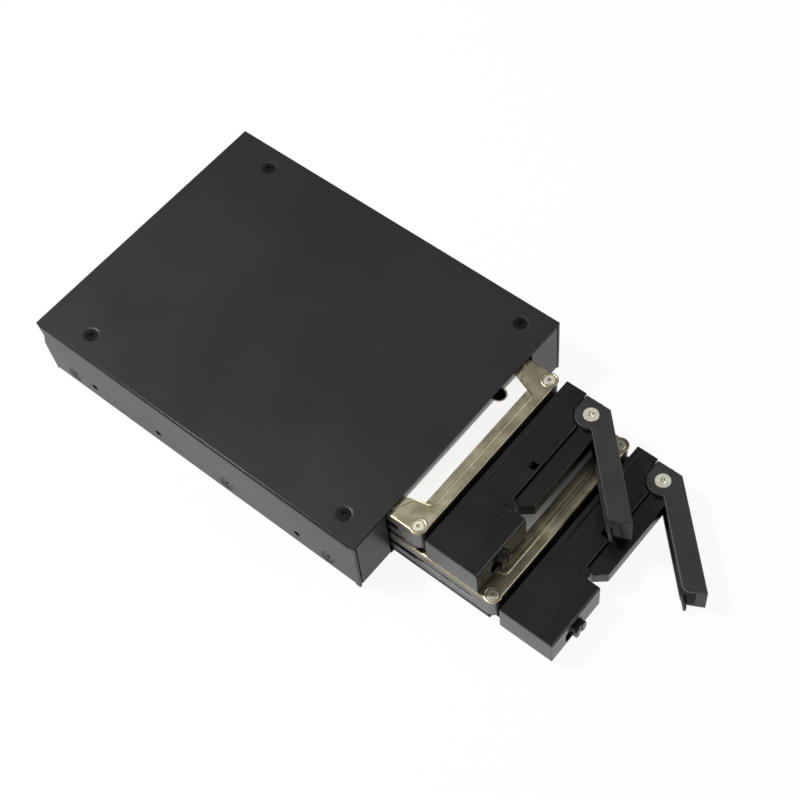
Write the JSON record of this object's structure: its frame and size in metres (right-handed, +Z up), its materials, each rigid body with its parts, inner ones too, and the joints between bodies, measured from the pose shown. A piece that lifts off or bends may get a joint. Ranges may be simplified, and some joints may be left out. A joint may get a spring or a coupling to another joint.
{
  "type": "hard drive mobile rack",
  "caption": "Flat sheet-steel rack for a 3.5 inch bay with stacked pull-out trays that hold 2.5 inch drives, each with a swing lever and a sliding release.",
  "frame": {"origin": "centre of the housing's bottom face", "axes": "+Z up, -Y to the front where the trays come out, +X to the right seen from the front"},
  "size_m": [0.1016, 0.223, 0.0254],
  "materials": {
    "coated_steel": "satin powder coat",
    "black_screw": "satin black",
    "guide_plastic": "moulded",
    "tray_plastic": "fine moulded texture",
    "circuit_board": "satin",
    "connector_plastic": "moulded",
    "brass_spacer": "turned",
    "plated_steel": "plated",
    "drive_casting": "cast",
    "drive_cover_sheet": "satin",
    "label_paper": "satin"
  },
  "bodies": {
    "housing": {"housing_base": "coated_steel", "top_cover": "coated_steel", "cover_screws": "black_screw", "guide_left": "guide_plastic", "guide_right": "guide_plastic", "guide_screws": "black_screw", "backplane_board": "circuit_board", "upper_drive_socket": "connector_plastic", "lower_drive_socket": "connector_plastic", "left_data_port": "connector_plastic", "right_data_port": "connector_plastic", "power_port": "connector_plastic", "board_spacers": "brass_spacer", "board_screws": "plated_steel"},
    "upper_tray": {"upper_tray": "tray_plastic", "upper_pivot_screw": "plated_steel", "upper_lever_spring": "plated_steel", "upper_slider_spring": "plated_steel", "upper_drive_base": "drive_casting", "upper_drive_cover": "drive_cover_sheet", "upper_drive_label": "label_paper", "upper_drive_cover_screws": "plated_steel", "upper_drive_board": "circuit_board", "upper_drive_connector": "connector_plastic", "upper_drive_mount_screws": "plated_steel"},
    "upper_lever": {"upper_lever": "tray_plastic"},
    "upper_release": {"upper_release_slider": "tray_plastic"},
    "lower_tray": {"lower_tray": "tray_plastic", "lower_pivot_screw": "plated_steel", "lower_lever_spring": "plated_steel", "lower_slider_spring": "plated_steel", "lower_drive_base": "drive_casting", "lower_drive_cover": "drive_cover_sheet", "lower_drive_label": "label_paper", "lower_drive_cover_screws": "plated_steel", "lower_drive_board": "circuit_board", "lower_drive_connector": "connector_plastic", "lower_drive_mount_screws": "plated_steel"},
    "lower_lever": {"lower_lever": "tray_plastic"},
    "lower_release": {"lower_release_slider": "tray_plastic"}
  },
  "joints": [
    {"name": "upper_tray_slide", "type": "slide", "parent": "housing", "child": "upper_tray", "axis": [0, -1, 0], "range_m": [-0.0297, 0.0934]},
    {"name": "lower_tray_slide", "type": "slide", "parent": "housing", "child": "lower_tray", "axis": [0, -1, 0], "range_m": [-0.0571, 0.06605]},
    {"name": "upper_lever_hinge", "type": "hinge", "parent": "upper_tray", "child": "upper_lever", "pos_m": [0.0297, -0.0955, 0.0187], "axis": [0, 0, 1], "range_deg": [-45, 0], "stiffness_Nm_per_rad": 0.02},
    {"name": "lower_lever_hinge", "type": "hinge", "parent": "lower_tray", "child": "lower_lever", "pos_m": [0.0297, -0.1229, 0.007], "axis": [0, 0, 1], "range_deg": [-45, 0], "stiffness_Nm_per_rad": 0.02},
    {"name": "upper_release_slide", "type": "slide", "parent": "upper_tray", "child": "upper_release", "axis": [-1, 0, 0], "range_m": [0, 0.0025], "stiffness_N_per_m": 200, "deforming": ["upper_slider_spring"]},
    {"name": "lower_release_slide", "type": "slide", "parent": "lower_tray", "child": "lower_release", "axis": [-1, 0, 0], "range_m": [0, 0.0025], "stiffness_N_per_m": 200, "deforming": ["lower_slider_spring"]}
  ]
}
